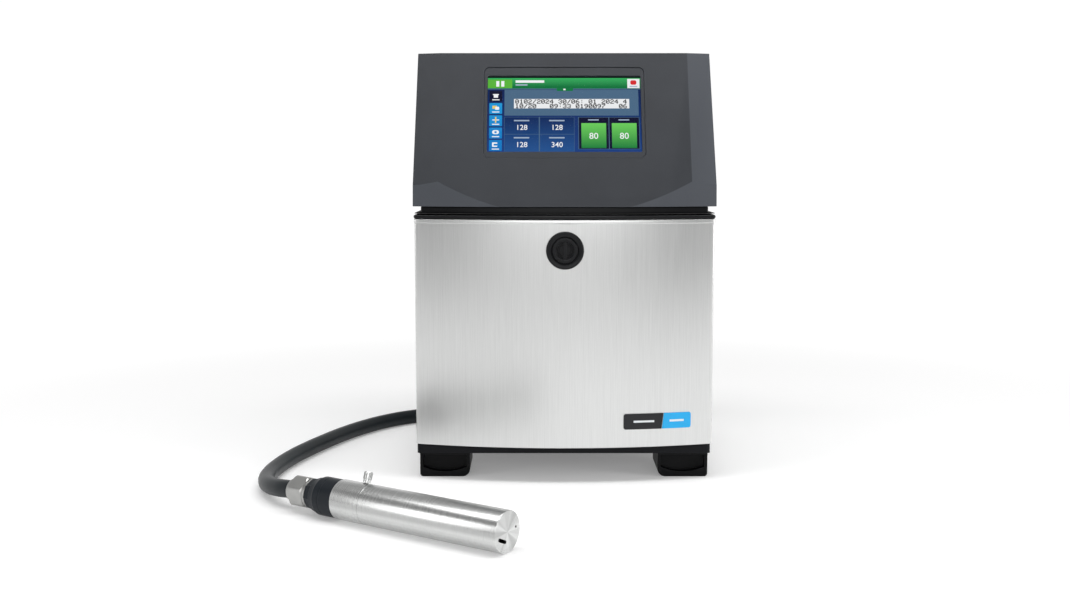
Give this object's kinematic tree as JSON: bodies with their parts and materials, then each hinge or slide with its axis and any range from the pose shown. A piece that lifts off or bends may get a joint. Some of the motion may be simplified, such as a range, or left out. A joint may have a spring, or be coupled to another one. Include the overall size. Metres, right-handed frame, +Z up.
{
  "type": "continuous inkjet date coder",
  "caption": "Continuous inkjet date coder: bowed steel cabinet door, leaning touch screen console, cylindrical print head on a hose.",
  "frame": {"origin": "centre of the cabinet's four feet, on the surface it stands on", "axes": "+X to the right seen from the front, +Y from the door to the rear panel, +Z up"},
  "size_m": [0.517, 0.8494, 0.489],
  "materials": {
    "stainless": "vertically brushed",
    "polished_steel": "fine turned and polished",
    "nickel": "satin nickel plate",
    "zinc": "bright zinc plate",
    "console_plastic": "fine textured moulding",
    "black_plastic": "satin moulding",
    "base_black": "fine textured powder coat",
    "foot_rubber": "moulded",
    "hose_rubber": "smooth extruded",
    "boot_rubber": "moulded",
    "seal_rubber": "extruded",
    "glass": "coated touch glass",
    "screen": "lit display",
    "circuit_board": "solder mask",
    "badge": "domed label, black and blue",
    "sheet_grey": "fine powder coat",
    "cast_metal": "machined",
    "brass": "turned",
    "clear_tube": "semi-clear tube",
    "tank_plastic": "natural moulding",
    "ink_plastic": "moulded",
    "makeup_plastic": "moulded",
    "switch_red": "moulded"
  },
  "bodies": {
    "cabinet": {"base_tray": "base_black", "front_feet": "foot_rubber", "rear_feet": "foot_rubber", "foot_screws": "zinc", "cabinet_shell": "stainless", "rear_panel": "stainless", "rear_screws": "zinc", "divider_shelf": "sheet_grey", "electronics_cover": "sheet_grey", "neck_plinth": "black_plastic", "console_shell": "console_plastic", "screen_bezel": "console_plastic", "touch_glass": "glass", "display_module": "screen", "console_board": "circuit_board", "door_seal": "seal_rubber", "latch_keeper": "zinc", "power_supply": "zinc", "control_board": "circuit_board", "board_standoffs": "brass", "fan_housing": "black_plastic", "fan_grille": "black_plastic", "mains_inlet": "black_plastic", "data_sockets": "nickel", "cabinet_gland": "nickel", "fluid_manifold": "black_plastic", "pump_housing": "cast_metal", "pump_cover": "cast_metal", "pump_motor": "base_black", "service_filter": "tank_plastic", "mixer_tank": "tank_plastic", "valve_bank": "black_plastic", "fluid_tubes": "clear_tube", "cartridge_holder": "black_plastic", "hinge_pins": "zinc", "gland_nut": "nickel", "head_boot": "boot_rubber", "head_chassis": "cast_metal", "nozzle_block": "cast_metal", "charge_electrode": "brass", "deflector_plates": "polished_steel", "ink_gutter": "cast_metal", "umbilical_lead": "hose_rubber", "umbilical_run": "hose_rubber", "umbilical_coil": "hose_rubber"},
    "door": {"door_skin": "stainless", "door_trim": "black_plastic", "door_panel": "black_plastic", "latch_housing": "black_plastic", "door_badge": "badge"},
    "latch": {"latch_knob": "black_plastic", "latch_cam": "zinc"},
    "barrel": {"barrel_cover": "polished_steel"},
    "barrel_screw": {"thumb_screw": "polished_steel"},
    "fan": {"fan_rotor": "black_plastic"},
    "rocker": {"rocker_switch": "switch_red"},
    "drive_gear": {"pump_drive_gear": "polished_steel"},
    "driven_gear": {"pump_driven_gear": "polished_steel"},
    "ink": {"ink_cartridge": "ink_plastic"},
    "makeup": {"makeup_cartridge": "makeup_plastic"}
  },
  "joints": [
    {"name": "door_swing", "type": "hinge", "parent": "cabinet", "child": "door", "pos_m": [0, -0.136, 0.043], "axis": [1, 0, 0], "range_deg": [0, 80]},
    {"name": "latch_turn", "type": "hinge", "parent": "door", "child": "latch", "pos_m": [0, -0.15, 0.2658], "axis": [0, -1, 0], "range_deg": [0, 90]},
    {"name": "barrel_slide", "type": "slide", "parent": "cabinet", "child": "barrel", "axis": [0.8339, -0.5519, 0], "range_m": [0, 0.2]},
    {"name": "screw_turn", "type": "hinge", "parent": "barrel", "child": "barrel_screw", "pos_m": [-0.20471, -0.3132, 0.03944], "axis": [0.1888, 0.2852, 0.9397], "continuous": true},
    {"name": "fan_spin", "type": "hinge", "parent": "cabinet", "child": "fan", "pos_m": [0.108, 0.12, 0.254], "axis": [0, 1, 0], "continuous": true},
    {"name": "rocker_tilt", "type": "hinge", "parent": "cabinet", "child": "rocker", "pos_m": [-0.122, 0.137, 0.272], "axis": [1, 0, 0], "range_deg": [0, 20]},
    {"name": "pump_turn", "type": "hinge", "parent": "cabinet", "child": "drive_gear", "pos_m": [0.068, -0.014, 0.075], "axis": [0, 0, 1], "continuous": true},
    {"name": "pump_follow", "type": "hinge", "parent": "cabinet", "child": "driven_gear", "pos_m": [0.0922, -0.014, 0.075], "axis": [0, 0, 1], "continuous": true},
    {"name": "ink_lift", "type": "slide", "parent": "cabinet", "child": "ink", "axis": [0, 0, 1], "range_m": [0, 0.03]},
    {"name": "makeup_lift", "type": "slide", "parent": "cabinet", "child": "makeup", "axis": [0, 0, 1], "range_m": [0, 0.03]}
  ],
  "couplings": [
    {"joint": "pump_follow", "follows": "pump_turn", "ratio": -1}
  ]
}
